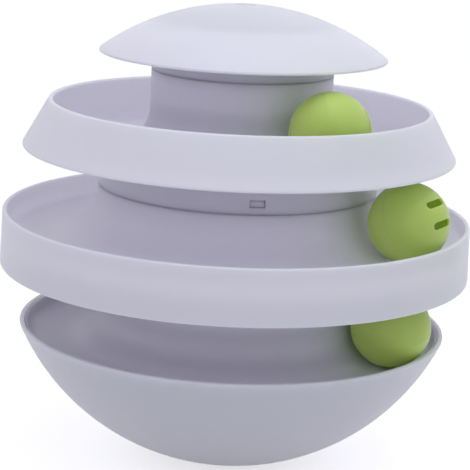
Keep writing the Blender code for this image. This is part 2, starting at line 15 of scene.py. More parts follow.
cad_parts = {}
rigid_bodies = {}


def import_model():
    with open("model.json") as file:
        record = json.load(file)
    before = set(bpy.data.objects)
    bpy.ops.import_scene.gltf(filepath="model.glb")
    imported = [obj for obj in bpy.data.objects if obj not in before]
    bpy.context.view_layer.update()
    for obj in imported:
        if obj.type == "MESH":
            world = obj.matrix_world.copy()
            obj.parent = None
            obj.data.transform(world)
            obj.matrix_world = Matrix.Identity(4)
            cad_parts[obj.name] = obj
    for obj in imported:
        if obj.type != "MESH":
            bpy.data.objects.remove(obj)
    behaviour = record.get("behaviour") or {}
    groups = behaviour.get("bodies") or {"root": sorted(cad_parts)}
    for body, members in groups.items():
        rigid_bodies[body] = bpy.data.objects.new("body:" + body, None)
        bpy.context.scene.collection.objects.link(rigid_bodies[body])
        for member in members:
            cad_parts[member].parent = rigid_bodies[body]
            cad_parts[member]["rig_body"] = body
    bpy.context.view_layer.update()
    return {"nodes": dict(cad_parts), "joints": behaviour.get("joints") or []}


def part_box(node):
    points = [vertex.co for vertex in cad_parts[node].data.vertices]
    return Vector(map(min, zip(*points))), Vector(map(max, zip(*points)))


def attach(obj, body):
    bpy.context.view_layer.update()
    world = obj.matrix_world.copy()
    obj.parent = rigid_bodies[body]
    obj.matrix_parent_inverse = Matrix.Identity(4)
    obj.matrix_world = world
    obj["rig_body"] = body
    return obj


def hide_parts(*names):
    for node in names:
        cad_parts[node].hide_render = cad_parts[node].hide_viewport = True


bl_info = {
    "name": "Cat Ball Tower",
    "version": (1, 0, 0),
    "blender": (4, 5, 0),
    "location": "3D View > Sidebar > Cat Tower",
    "description": "Models the mouldings and balls of a three-tier ball tower and sets its stage",
    "category": "Object",
}

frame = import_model()
JOINTS = {joint["name"]: joint for joint in frame["joints"]}
TIERS = ("lower", "middle", "upper")
# Points nearer than this are one point.
MERGE = 1e-6
# Side of the photograph's square frame.
PHOTO_PIXELS = 470
# Edges folded by more than this go round a window or a slot.
WINDOW_FOLD = math.radians(60)
SLOT_FOLD = math.radians(30)
# Points beyond this share of a collar's radius lie on its face.
COLLAR_FACE = 0.995
# Most of a noise lies between these two values.
NOISE_MIDDLE = (0.3, 0.7)


def length(label, note, default):
    """A size in metres."""
    return FloatProperty(
        name=label, description=note, default=default, subtype="DISTANCE", unit="LENGTH", precision=4
    )


def angle(label, note, degrees):
    """An angle, given in degrees and kept in radians."""
    return FloatProperty(
        name=label, description=note, default=math.radians(degrees), subtype="ANGLE", unit="ROTATION"
    )


def colour(label, note, default):
    """A linear colour."""
    return FloatVectorProperty(
        name=label, description=note, default=default, subtype="COLOR", size=3, min=0, max=1
    )


def share(label, note, default):
    """A plain number, such as a strength or a roughness."""
    return FloatProperty(name=label, description=note, default=default, min=0)


def count(label, note, default):
    """A whole number of steps."""
    return IntProperty(name=label, description=note, default=default, min=1)


class TowerShell(bpy.types.PropertyGroup):
    """Sizes of the turned mouldings."""

    wall: length("Wall", "Thickness of walls, collars and rings", 0.0024)
    floor: length("Floor", "Thickness of the track floors", 0.0020)
    clearance: length("Clearance", "Gap between pieces that fit together", 0.0003)
    rim_round: length("Rim round", "Rounding of the rims", 0.0010)
    edge_round: length("Edge round", "Softening of the other moulded edges", 0.0004)
    seam: length("Seam", "Line that shows between a collar and its shoulder", 0.00002)
    solid_sides: count("Solid sides", "Flat sides of the solids' rings, which the balls clear", 36)
    bowl_radius: length("Bowl radius", "Outside of the bowl's sphere", 0.1220)
    bowl_wall: length("Bowl wall", "Thickness of the bowl", 0.0024)
    foot_radius: length("Foot radius", "Flat under the bowl", 0.0120)
    lip_round: length("Lip round", "Rounding of the bowl's lip against the lower track", 0.0003)
    track_edge: length("Track edge", "Width of the lower track's edge inside the bowl's lip", 0.0010)
    track_drop: length("Track drop", "How far the lower track's edge lies below the bowl's lip", 0.0010)
    dish_round: length("Dish round", "Rounding where the lower track's floor meets its rise", 0.0100)
    middle_wall: length("Middle wall height", "Rim of the middle tray above its floor", 0.0118)
    skirt_drop: length("Skirt drop", "Skirt of the middle tray below its floor", 0.0142)
    skirt_flare: length("Skirt flare", "How far the skirt spreads below the rim", 0.0008)
    skirt_round: length("Skirt round", "Rounding of the skirt's foot", 0.0006)
    tray_corner: length("Tray corner", "Rounding where a tray's floor meets its wall", 0.0060)
    upper_wall: length("Upper wall height", "Rim of the upper tray above its floor", 0.0252)
    upper_lean: angle("Upper wall lean", "How far the upper tray's wall leans in", 29.25)
    upper_corner: length("Upper corner", "Rounding of the upper tray's bottom edge", 0.0010)
    edge_rise: length("Edge rise", "Foot of the upper tray's wall above its underside", 0.0030)
    edge_width: length("Edge width", "Sloped ring under the foot of the upper tray's wall", 0.0140)
    cap_radius: length("Cap radius", "Outside of the cap's lip", 0.0738)
    cap_drop: length("Cap collar drop", "Collar below the cap's lip", 0.0082)
    cap_lip: length("Cap lip", "Height of the cap's lip", 0.0012)
    cap_lip_round: length("Cap lip round", "Rounding of the lip into the dome", 0.0006)
    plug_radius: length("Plug radius", "Plug in the cap's crown", 0.0050)
    plug_thickness: length("Plug thickness", "Head of the plug", 0.0020)
    plug_sunk: length("Plug sunk", "How deep the plug's face lies in the crown", 0.0007)
    plug_stem: length("Plug stem", "Radius of the plug's stem", 0.0034)
    plug_stem_length: length("Plug stem length", "Stem below the plug's head", 0.0050)
    plug_boss: length("Plug boss", "Wall of the boss round the plug's stem", 0.0018)


class TowerLatch(bpy.types.PropertyGroup):
    """Sizes of the snap rings and their hooked fingers."""

    ring_height: length("Ring height", "Snap ring above its seam", 0.0115)
    shelf_width: length("Shelf width", "Inner shelf that carries the fingers", 0.0030)
    shelf_thickness: length("Shelf thickness", "Thickness of that shelf", 0.0020)
    finger_reach: length("Finger reach", "Root of a finger below the seam", 0.0140)
    finger_rise: length("Finger rise", "Tip of a finger above the seam", 0.0082)
    finger_thickness: length("Finger thickness", "Thickness of a finger", 0.0020)
    finger_room: length("Finger room", "Width that a finger needs in its ring", 0.0076)
    hook_width: length("Hook width", "Width of a finger and its hook", 0.0071)
    hook_bottom: length("Hook bottom", "Hook's foot above the seam", 0.0037)
    hook_top: length("Hook top", "Hook's top above the seam", 0.0070)
    hook_shy: length("Hook shy", "How far a hook stays behind the collar's face", 0.0007)
    hook_lead: length("Hook lead", "Chamfer on the hook's top", 0.0009)
    window_width: length("Window width", "Window in the collar", 0.0076)
    window_bottom: length("Window bottom", "Window's foot above the seam", 0.0035)
    window_top: length("Window top", "Window's top above the seam", 0.0073)
    window_round: length("Window round", "Softening of a window's outer edge", 0.0002)
    upper_azimuth: angle("Upper latch azimuth", "First latch between the middle and upper trays", 8)
    side_azimuth: angle("Side latch azimuth", "First latch of the cap and of the middle tray", 98)


class TowerBall(bpy.types.PropertyGroup):
    """Sizes of the balls and of the bells inside them."""

    radius: length("Ball radius", "Outside of a ball", 0.0204)
    wall: length("Ball wall", "Thickness of a ball's halves", 0.0016)
    floor_gap: length("Floor gap", "Ball's foot above its track", 0.0003)
    middle_rim_gap: length("Middle rim gap", "Ball from the middle tray's rim", 0.0017)
    upper_rim_gap: length("Upper rim gap", "Ball from the upper tray's wall", 0.0033)
    lower_play: length("Lower play", "Ball from the lower track's neck", 0.0010)
    middle_play: length("Middle play", "Ball from the middle tray's neck", 0.0056)
    upper_play: length("Upper play", "Ball from the upper tray's neck", 0.0037)
    flare_ease: length("Flare ease", "How much tighter a neck's flare is than the ball's way", 0.0020)
    weld: length("Weld", "Width of the fine groove where the halves are welded", 0.0003)
    slot_length: length("Slot length", "Slot at a ball's pole", 0.0146)
    slot_width: length("Slot width", "Width of a slot", 0.0034)
    slot_spacing: length("Slot spacing", "Slots from middle to middle", 0.0106)
    slot_round: length("Slot round", "Softening of a slot's outer edge", 0.0003)
    bell_radius: length("Bell radius", "Outside of a bell", 0.0070)
    bell_wall: length("Bell wall", "Thickness of a bell", 0.0006)
    bell_eye: length("Bell eye", "Hole in a bell's top", 0.0014)
    bell_room: length("Bell room", "Bell above the inside of its ball", 0.0009)
    pea_radius: length("Pea radius", "Pea in a bell", 0.0018)
    pea_room: length("Pea room", "Pea above the inside of its bell", 0.0006)


class TowerBallast(bpy.types.PropertyGroup):
    """Sizes of the weight in the bowl and its fastening."""

    radius: length("Weight radius", "Outside of the weight", 0.0390)
    seat_width: length("Seat width", "Ring that the weight sits on", 0.0040)
    post_radius: length("Post radius", "Centre post of the bowl", 0.0060)
    post_short: length("Post short", "How far the post ends below the weight's top", 0.0005)
    screw_radius: length("Screw radius", "Shank of the screw", 0.0015)
    screw_head: length("Screw head", "Radius of the screw's head", 0.0034)
    screw_head_height: length("Screw head height", "Height of the screw's head", 0.0024)
    drive_width: length("Drive width", "Width of the cross in the screw's head", 0.0008)
    drive_reach: length("Drive reach", "Arm of that cross from the screw's axis", 0.00204)


class TowerFinish(bpy.types.PropertyGroup):
    """Colours and gloss of the materials."""

    shell: colour("Shell", "Pale plastic of the mouldings", (0.93, 0.882, 0.985))
    shell_depth: length("Shell depth", "How far light runs inside the mouldings", 0.0090)
    shell_rough: share("Shell roughness", "Satin of the mouldings", 0.42)
    shell_cloud: share("Shell cloud", "How much darker the mouldings' patches are", 0.025)
    ball: colour("Ball", "Lime plastic of the balls", (0.58, 0.91, 0.165))
    ball_depth: length("Ball depth", "How far light runs inside the balls", 0.0060)
    ball_rough: share("Ball roughness", "Satin of the balls", 0.40)
    ball_cloud: share("Ball cloud", "How much darker the balls' patches are", 0.06)
    shine: share("Shine", "Strength of the plastics' reflections", 0.3)
    scatter: colour("Scatter", "Shares of the depth that red, green and blue light run", (1, 1, 0.9))
    brass: colour("Brass", "Bells", (0.78, 0.57, 0.22))
    steel: colour("Steel", "Screw, washer and peas", (0.55, 0.55, 0.56))
    iron: colour("Iron", "Cast weight", (0.10, 0.10, 0.11))


class TowerStage(bpy.types.PropertyGroup):
    """Camera, light and floor."""

    elevation: angle("Elevation", "Camera above the horizon", 13.024)
    roll: angle("Roll", "Camera's turn about its own line of sight", 2.65)
    distance: length("Distance", "Camera from its target", 0.9328)
    target_height: length("Target height", "Camera's target up the tower", 0.1174)
    target_right: length("Target right", "Camera's target across the picture", -0.00004)
    target_up: length("Target up", "Camera's target up the picture", 0.0020)
    focal_pixels: share("Focal length", "Focal length in the photograph's pixels", 1776.8)
    sensor: share("Sensor", "Width of the camera's sensor in millimetres", 36.0)
    daylight: colour("Daylight", "Cool white of the sky and of the lamp", (0.87, 0.894, 1.0))
    sky: share("Sky", "Even light from all round", 0.59)
    lamp_watts: share("Lamp", "Watts of the broad soft lamp above", 1.58)
    lamp_size: length("Lamp size", "Side of the soft lamp", 0.5)
    lamp_height: length("Lamp height", "Soft lamp above the floor", 0.75)
    lamp_forward: length("Lamp forward", "Soft lamp in front of the tower's axis", 0.1)
    lamp_right: length("Lamp right", "Soft lamp to the right of the tower's axis", 0.08)
    floor_radius: length("Floor radius", "Size of the floor", 8.0)
    floor_sides: count("Floor sides", "Steps round the floor's edge", 96)
    floor_drop: length("Floor drop", "Floor below the foot, so that their faces stay apart", 0.0001)
    floor_seen: colour("Floor", "Floor as it is seen", (0.75, 0.75, 0.75))
    floor_bounce: colour("Floor bounce", "Floor as it lights the tower", (0.90, 0.90, 0.90))
    floor_lift: share("Floor lift", "Added to the floor as it is seen, to make it white", 0.63)


class TowerFineness(bpy.types.PropertyGroup):
    """Steps of the turned shapes."""

    shell: count("Shell segments", "Steps round a moulding", 160)
    ball: count("Ball segments", "Steps round a ball", 96)
    small: count("Small segments", "Steps round a small turned piece", 48)
    fillet: count("Fillet segments", "Steps across a small rounding", 4)
    soft: count("Soft segments", "Steps across a softened edge", 2)
    chord: length("Chord", "Longest step along a curve", 0.0025)
    smooth: angle("Smooth angle", "Edges below this are shaded smooth", 32)


class TowerSettings(bpy.types.PropertyGroup):
    """Everything that a user would change."""

    shell: PointerProperty(type=TowerShell)
    latch: PointerProperty(type=TowerLatch)
    ball: PointerProperty(type=TowerBall)
    ballast: PointerProperty(type=TowerBallast)
    finish: PointerProperty(type=TowerFinish)
    stage: PointerProperty(type=TowerStage)
    fineness: PointerProperty(type=TowerFineness)


def settings():
    """The scene's settings for the tower."""
    return bpy.context.scene.cat_tower


class Plan:
    """Heights and radii that several mouldings share, from the frame and the settings."""

    def __init__(self):
        tower = settings()
        shell, latch, ball = tower.shell, tower.latch, tower.ball
        plays = {"lower": ball.lower_play, "middle": ball.middle_play, "upper": ball.upper_play}
        self.centres = {tier: Vector(JOINTS[f"{tier}_ball_roll"]["pos_m"]) for tier in TIERS}
        collars = {"middle": "middle_tray", "upper": "upper_tray", "cap": "top_cap"}
        self.seams = {seam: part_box(node)[0].z for seam, node in collars.items()}
        self.floors = {}
        self.orbits = {}
        self.necks = {}
        self.flares = {}
        for tier, centre in self.centres.items():
            self.floors[tier] = centre.z - ball.radius - ball.floor_gap
            self.orbits[tier] = centre.xy.length
            self.necks[tier] = self.orbits[tier] - ball.radius - plays[tier]
            self.flares[tier] = plays[tier] + ball.radius - ball.flare_ease
        # Radius, height and first latch's azimuth of each snapped seam.
        self.joins = {
            "middle": (self.necks["lower"], self.seams["middle"], latch.side_azimuth),
            "upper": (self.necks["middle"], self.seams["upper"], latch.upper_azimuth),
            "cap": (self.necks["upper"], self.seams["cap"], latch.side_azimuth),
        }
        self.bowl_centre = math.sqrt(shell.bowl_radius**2 - shell.foot_radius**2)
        self.bowl_inside = shell.bowl_radius - shell.bowl_wall
        self.bowl_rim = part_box("base_bowl")[1].z
        self.lip = self.seams["cap"] + shell.cap_drop
        self.dome_edge = self.lip + shell.cap_lip
        self.plug_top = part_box("crown_plug")[1].z
        self.crown = self.plug_top + shell.plug_sunk
        rise = self.crown - self.dome_edge
        self.dome_radius = (shell.cap_radius**2 + rise**2) / (2 * rise)
        self.dome_centre = self.crown - self.dome_radius
        self.plug_seat = self.plug_top - shell.plug_thickness - shell.clearance
        self.boss_foot = self.plug_seat - shell.plug_stem_length

    def bowl_width(self, radius, z):
        """Radius of the bowl's concentric sphere at a height."""
        return math.sqrt(radius**2 - (self.bowl_centre - z) ** 2)


class Outline:
    """A wire in the XZ plane that is drawn corner by corner, then turned about Z."""

    def __init__(self):
        self.mesh = bmesh.new()
        self.first = None
        self.last = None
        self.fillets = []

    def corner(self, radius, height, fillet=0.0):
        """Draw a straight line to a corner, which is rounded when the wire is whole."""
        vert = self.mesh.verts.new((radius, 0, height))
        if self.last:
            self.mesh.edges.new((self.last, vert))
        self.first = self.first or vert
        self.last = vert
        if fillet:
            self.fillets.append((vert, fillet))

    def corners(self, *points):
        """Draw lines through several corners."""
        for point in points:
            self.corner(*point)

    def arc(self, centre_z, sweep, fillet=0.0):
        """Swing the last corner about a point on the axis. Positive turns from +X down."""
        reach = math.hypot(self.last.co.x, self.last.co.z - centre_z)
        steps = max(2, math.ceil(abs(sweep) * reach / settings().fineness.chord))
        spun = bmesh.ops.spin(
            self.mesh, geom=[self.last], cent=(0, 0, centre_z), axis=(0, 1, 0), angle=sweep, steps=steps
        )
        self.last = spun["geom_last"][0]
        if fillet:
            self.fillets.append((self.last, fillet))

    def sphere(self, centre_z, radius, start, end, side, fillets=(0.0, 0.0)):
        """Draw along a sphere between two widths, on its upper (+1) or lower (-1) side."""
        first = math.asin(min(start / radius, 1))
        last = math.asin(min(end / radius, 1))
        self.corner(start, centre_z + side * radius * math.cos(first), fillets[0])
        self.arc(centre_z, side * (last - first), fillets[1])

    def turned(self, segments):
        """Round the corners, close the wire unless it runs between points on the axis, and turn it."""
        mesh = self.mesh
        if self.first.co.x > MERGE:
            mesh.edges.new((self.last, self.first))
        bmesh.ops.remove_doubles(mesh, verts=mesh.verts, dist=MERGE)
        fineness = settings().fineness
        for vert, fillet in self.fillets:
            sides = [edge.other_vert(vert).co - vert.co for edge in vert.link_edges]
            between = sides[0].angle(sides[1])
            steps = max(fineness.fillet, math.ceil((math.pi - between) * fillet / fineness.chord))
            bmesh.ops.bevel(
                mesh,
                geom=[vert],
                offset=fillet / math.tan(between / 2),
                offset_type="OFFSET",
                segments=steps,
                profile=0.5,
                affect="VERTICES",
                material=-1,
            )
        bmesh.ops.spin(
            mesh,
            geom=mesh.verts[:] + mesh.edges[:],
            cent=(0, 0, 0),
            axis=(0, 0, 1),
            angle=math.tau,
            steps=segments,
            use_merge=True,
        )
        return closed(mesh)


def closed(mesh):
    """Merge doubles, drop what has no size and point the faces outwards."""
    bmesh.ops.remove_doubles(mesh, verts=mesh.verts, dist=MERGE)
    bmesh.ops.dissolve_degenerate(mesh, edges=mesh.edges, dist=MERGE)
    bmesh.ops.recalc_face_normals(mesh, faces=mesh.faces)
    return mesh


def turned_to(azimuth):
    """Rotation that carries the X axis to an azimuth."""
    return Matrix.Rotation(azimuth - math.pi / 2, 4, "Z")


def placed(mesh, matrix):
    """Move and turn a whole mesh."""
    bmesh.ops.transform(mesh, matrix=matrix, verts=mesh.verts)
    return mesh


def thickened(mesh, ring, direction):
    """Fill a ring of vertices and extrude the face along a direction."""
    face = mesh.faces.new(ring)
    grown = bmesh.ops.extrude_face_region(mesh, geom=[face])
    moved = [item for item in grown["geom"] if isinstance(item, bmesh.types.BMVert)]
    bmesh.ops.translate(mesh, verts=moved, vec=direction)


def plate(outline, width):
    """Extrude an outline in the radial plane to a width across it."""
    mesh = bmesh.new()
    ring = [mesh.verts.new((radius, -width / 2, height)) for radius, height in outline]
    thickened(mesh, ring, (0, width, 0))
    return closed(mesh)


def block(inner, outer, bottom, top, width, azimuth):
    """A box across a radius at an azimuth, for cutting windows."""
    mesh = plate([(inner, bottom), (outer, bottom), (outer, top), (inner, top)], width)
    return placed(mesh, turned_to(azimuth))


def loose_object(name, mesh):
    """An object of a bmesh, which is freed."""
    data = bpy.data.meshes.new(name)
    mesh.to_mesh(data)
    mesh.free()
    made = bpy.data.objects.new(name, data)
    bpy.context.scene.collection.objects.link(made)
    return made


def carved(mesh, cutters):
    """Take closed cutters away from a closed mesh."""
    target = loose_object("carving", mesh)
    tools = [loose_object("cutter", cutter) for cutter in cutters]
    for tool in tools:
        hole = target.modifiers.new("hole", "BOOLEAN")
        hole.object = tool
        hole.operation = "DIFFERENCE"
        hole.solver = "EXACT"
    graph = bpy.context.evaluated_depsgraph_get()
    left = bmesh.new()
    left.from_object(target, graph)
    for spent in [target] + tools:
        data = spent.data
        bpy.data.objects.remove(spent, do_unlink=True)
        bpy.data.meshes.remove(data)
    return closed(left)


def sharp_edges(mesh, fold, chosen):
    """Edges folded by more than an angle whose ends are both chosen."""
    folded = [edge for edge in mesh.edges if edge.is_manifold and edge.calc_face_angle() > fold]
    return [edge for edge in folded if all(chosen(vert.co) for vert in edge.verts)]


def softened(mesh, edges, width):
    """Round edges off."""
    if not edges:
        raise RuntimeError("there is no edge to soften")
    bmesh.ops.bevel(
        mesh,
        geom=edges,
        offset=width,
        offset_type="OFFSET",
        segments=settings().fineness.soft,
        profile=0.5,
        affect="EDGES",
        clamp_overlap=True,
        material=-1,
    )
    return mesh


def shown(name, mesh, finish, slot, *nodes):
    """Make a piece of a bmesh that stands for CAD nodes and rides on their body."""
    piece = loose_object(name, mesh)
    piece.data.shade_smooth()
    piece.data.set_sharp_from_angle(angle=settings().fineness.smooth)
    piece.data.materials.append(finish)
    weighted = piece.modifiers.new("even_shading", "WEIGHTED_NORMAL")
    weighted.keep_sharp = True
    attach(piece, frame["nodes"][nodes[0]]["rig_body"])
    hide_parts(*nodes)
    return piece


def new_finish(name):
    """A new node material with its tree and its shader."""
    made = bpy.data.materials.new(name)
    made.use_nodes = True
    return made, made.node_tree, made.node_tree.nodes["Principled BSDF"]


def noise(tree, spots, detail):
    """Noise over the piece's own coordinates, with a number of spots to the metre."""
    place = tree.nodes.new("ShaderNodeTexCoord")
    made = tree.nodes.new("ShaderNodeTexNoise")
    made.inputs["Scale"].default_value = spots
    made.inputs["Detail"].default_value = detail
    tree.links.new(place.outputs["Object"], made.inputs["Vector"])
    return made.outputs["Fac"]


def spread(tree, source, low, high):
    """Spread the middle of a noise between two values."""
    made = tree.nodes.new("ShaderNodeMapRange")
    made.inputs["From Min"].default_value = NOISE_MIDDLE[0]
    made.inputs["From Max"].default_value = NOISE_MIDDLE[1]
    made.inputs["To Min"].default_value = low
    made.inputs["To Max"].default_value = high
    tree.links.new(source, made.inputs["Value"])
    return made.outputs["Result"]


def mixed(tree, factor, first, second):
    """Mix two colours by a factor."""
    made = tree.nodes.new("ShaderNodeMix")
    made.data_type = "RGBA"
    made.inputs["A"].default_value = (*first, 1)
    made.inputs["B"].default_value = (*second, 1)
    tree.links.new(factor, made.inputs["Factor"])
    return made.outputs["Result"]


def bumped(tree, height, distance, strength):
    """A bump of that depth in metres."""
    made = tree.nodes.new("ShaderNodeBump")
    made.inputs["Distance"].default_value = distance
    made.inputs["Strength"].default_value = strength
    tree.links.new(height, made.inputs["Height"])
    return made.outputs["Normal"]


def tinted(base, factor):
    """A colour made lighter or darker."""
    return tuple(channel * factor for channel in base)


def grained(name, base, darker, rough, patches, gloss, grain, depth, relief):
    """A material with darker patches, uneven gloss and a grain.

    Each of patches, gloss and grain is a noise's spots to the metre and its detail.
    """
    made, tree, shader = new_finish(name)
    link = tree.links.new
    tone = spread(tree, noise(tree, *patches), 0, 1)
    link(mixed(tree, tone, tinted(base, 1 - darker), base), shader.inputs["Base Color"])
    link(spread(tree, noise(tree, *gloss), *rough), shader.inputs["Roughness"])
    link(bumped(tree, noise(tree, *grain), depth, relief), shader.inputs["Normal"])
    return made, shader


def moulded_plastic(name, base, rough, cloud, depth):
    """Satin plastic that light enters: a faint cloudiness, uneven gloss and a fine moulded grain."""
    made = bpy.data.materials.get(name)
    if made:
        return made
    made, shader = grained(
        name,
        base,
        darker=cloud,
        rough=(rough - 0.04, rough + 0.05),
        patches=(22, 4),
        gloss=(240, 3),
        grain=(2400, 2),
        depth=0.00003,
        relief=0.25,
    )
    finish = settings().finish
    shader.inputs["Specular IOR Level"].default_value = finish.shine
    shader.inputs["Subsurface Weight"].default_value = 1
    shader.inputs["Subsurface Radius"].default_value = finish.scatter[:]
    shader.inputs["Subsurface Scale"].default_value = depth
    return made


def shell_plastic():
    """Pale plastic of the mouldings."""
    finish = settings().finish
    return moulded_plastic(
        "pale_plastic", finish.shell[:], finish.shell_rough, finish.shell_cloud, finish.shell_depth
    )


def ball_plastic():
    """Lime plastic of the balls."""
    finish = settings().finish
    return moulded_plastic(
        "lime_plastic", finish.ball[:], finish.ball_rough, finish.ball_cloud, finish.ball_depth
    )


def metal(name, base, rough, spots, depth):
    """Bare metal with an uneven tone and a grain of so many spots to the metre."""
    made = bpy.data.materials.get(name)
    if made:
        return made
    made, shader = grained(
        name,
        base,
        darker=0.18,
        rough=(rough - 0.08, rough + 0.10),
        patches=(160, 4),
        gloss=(spots / 3, 4),
        grain=(spots, 3),
        depth=depth,
        relief=0.4,
    )
    shader.inputs["Metallic"].default_value = 1
    return made


def bell_brass():
    """Pressed yellow metal."""
    return metal("bell_brass", settings().finish.brass[:], rough=0.30, spots=900, depth=0.00002)


def plated_steel():
    """Zinc-plated steel."""
    return metal("plated_steel", settings().finish.steel[:], rough=0.34, spots=1500, depth=0.00002)


def cast_iron():
    """Iron as it comes from the mould."""
    return metal("cast_iron", settings().finish.iron[:], rough=0.62, spots=700, depth=0.00015)


def moulding(node, mesh):
    """Show a mesh in pale plastic for a CAD node."""
    return shown(f"{node}_moulding", mesh, shell_plastic(), "shell_plastic", node)


def facet():
    """How near the middle of a flat side of the solids' rings comes, as a share of its corners' radius."""
    return math.cos(math.pi / settings().shell.solid_sides)


def snap_neck(line, radius, seam_z, inner):
    """Draw up a neck's inside, over its snap ring and down to its shoulder."""
    shell, latch = settings().shell, settings().latch
    edge = shell.edge_round
    ring_outer = radius - shell.wall - shell.clearance
    ring_inner = ring_outer - shell.wall
    shoulder = seam_z - shell.seam
    shelf_top = seam_z - latch.finger_reach - shell.clearance
    shelf_inner = min(inner, ring_inner) - latch.shelf_width
    line.corners(
        (inner, shelf_top - latch.shelf_thickness),
        (shelf_inner, shelf_top - latch.shelf_thickness, edge),
        (shelf_inner, shelf_top, edge),
        (ring_inner, shelf_top),
        (ring_inner, seam_z + latch.ring_height, edge),
        (ring_outer, seam_z + latch.ring_height, edge),
        (ring_outer, shoulder),
        (radius, shoulder, shell.seam),
    )


def collar(line, radius, seam_z):
    """Draw across the open end of a collar that drops over a snap ring."""
    shell = settings().shell
    line.corners((radius, seam_z, shell.seam), (radius - shell.wall, seam_z, shell.seam))


def flare_back(line, neck, floor_z, flare, inner):
    """Draw the 45-degree slope behind a round flare, a floor's thickness from it, up to a radius."""
    floor = settings().shell.floor
    slope = neck + floor_z + (2 - math.sqrt(2)) * flare - math.sqrt(2) * floor
    under = floor_z - floor
    line.corners((slope - under, under), (inner, slope - inner))


def finger_face(radius):
    """Outer face of a latch finger, which clears the flat sides of the ring in front of it."""
    shell, latch = settings().shell, settings().latch
    ring_inner = radius - 2 * shell.wall - shell.clearance
    return math.sqrt((ring_inner * facet() - shell.clearance) ** 2 - (latch.hook_width / 2) ** 2)


def both_sides(azimuth):
    """An azimuth and the one across from it."""
    return azimuth, azimuth + math.pi


def windows(radius, seam_z, azimuth):
    """Cutters for the two windows in a collar."""
    shell, latch = settings().shell, settings().latch
    near = radius - shell.wall - latch.finger_thickness
    far = radius + shell.wall
    bottom = seam_z + latch.window_bottom
    top = seam_z + latch.window_top
    return [block(near, far, bottom, top, latch.window_width, turn) for turn in both_sides(azimuth)]


def notches(radius, seam_z, azimuth):
    """Cutters for the two notches in the ring behind a collar's windows."""
    shell, latch = settings().shell, settings().latch
    near = finger_face(radius) - latch.finger_thickness
    far = radius - shell.wall / 2
    bottom = seam_z + latch.window_bottom - shell.clearance
    top = seam_z + latch.ring_height + shell.wall
    width = latch.finger_room + 2 * shell.clearance
    return [block(near, far, bottom, top, width, turn) for turn in both_sides(azimuth)]


def soften_windows(mesh, radius, seam_z):
    """Round off the edges of a collar's windows on its outer face."""
    latch = settings().latch
    low = seam_z + latch.window_bottom - MERGE
    high = seam_z + latch.window_top + MERGE

    def flush(point):
        return low < point.z < high and point.xy.length > radius * COLLAR_FACE

    softened(mesh, sharp_edges(mesh, WINDOW_FOLD, flush), latch.window_round)


class CATTOWER_OT_stage(bpy.types.Operator):
    """Set the floor, the soft light and the camera at the photograph's angle"""

    bl_idname = "cat_tower.stage"
    bl_label = "Stage"

    def execute(self, context):
        stage = settings().stage
        self.floor(stage)
        self.light(context.scene, stage)
        self.camera(context.scene, stage)
        context.scene.view_settings.view_transform = "Standard"
        return {"FINISHED"}

    def seen_rays(self, tree):
        """One for camera, glossy and transmission rays, which see the background, and zero for others."""
        path = tree.nodes.new("ShaderNodeLightPath")
        seen = path.outputs["Is Camera Ray"]
        for name in ("Is Glossy Ray", "Is Transmission Ray"):
            either = tree.nodes.new("ShaderNodeMath")
            either.operation = "MAXIMUM"
            tree.links.new(seen, either.inputs[0])
            tree.links.new(path.outputs[name], either.inputs[1])
            seen = either.outputs[0]
        return seen

    def floor(self, stage):
        """A wide pale floor that keeps the tower's shadow."""
        mesh = bmesh.new()
        bmesh.ops.create_circle(mesh, cap_ends=True, segments=stage.floor_sides, radius=stage.floor_radius)
        bmesh.ops.translate(mesh, verts=mesh.verts, vec=(0, 0, -stage.floor_drop))
        floor = loose_object("studio_floor", mesh)
        made, tree, shader = new_finish("studio_floor")
        seen = self.seen_rays(tree)
        tone = mixed(tree, seen, stage.floor_bounce[:], stage.floor_seen[:])
        tree.links.new(tone, shader.inputs["Base Color"])
        shader.inputs["Roughness"].default_value = 1
        shader.inputs["Specular IOR Level"].default_value = 0
        lift = tree.nodes.new("ShaderNodeMath")
        lift.operation = "MULTIPLY"
        lift.inputs[1].default_value = stage.floor_lift
        tree.links.new(seen, lift.inputs[0])
        shader.inputs["Emission Color"].default_value = (1, 1, 1, 1)
        tree.links.new(lift.outputs[0], shader.inputs["Emission Strength"])
        floor.data.materials.append(made)

    def light(self, scene, stage):
        """Even light from a pale sky and a broad soft lamp above."""
        world = bpy.data.worlds.new("studio_sky")
        scene.world = world
        world.use_nodes = True
        tree = world.node_tree
        sky = tree.nodes["Background"]
        white = (1, 1, 1)
        lit = tinted(stage.daylight, stage.sky)
        tone = mixed(tree, self.seen_rays(tree), lit, white)
        tree.links.new(tone, sky.inputs["Color"])
        lamp = bpy.data.lights.new("soft_lamp", "AREA")
        lamp.energy = stage.lamp_watts
        lamp.color = stage.daylight
        lamp.size = stage.lamp_size
        holder = bpy.data.objects.new("soft_lamp", lamp)
        holder.location = (stage.lamp_right, -stage.lamp_forward, stage.lamp_height)
        scene.collection.objects.link(holder)

    def camera(self, scene, stage):
        """The photograph's camera: low in front, tipped a little about its line of sight."""
        back = Vector((0, -math.cos(stage.elevation), math.sin(stage.elevation)))
        level = Vector((1, 0, 0))
        upright = back.cross(level)
        right = level * math.cos(stage.roll) + upright * math.sin(stage.roll)
        up = upright * math.cos(stage.roll) - level * math.sin(stage.roll)
        target = Vector((0, 0, stage.target_height)) + right * stage.target_right + up * stage.target_up
        lens = bpy.data.cameras.new("photo_camera")
        lens.sensor_width = stage.sensor
        lens.lens = stage.focal_pixels / PHOTO_PIXELS * stage.sensor
        eye = bpy.data.objects.new("photo_camera", lens)
        facing = Matrix((right, up, back)).transposed().to_4x4()
        eye.matrix_world = Matrix.Translation(target + back * stage.distance) @ facing
        scene.collection.objects.link(eye)
        scene.camera = eye


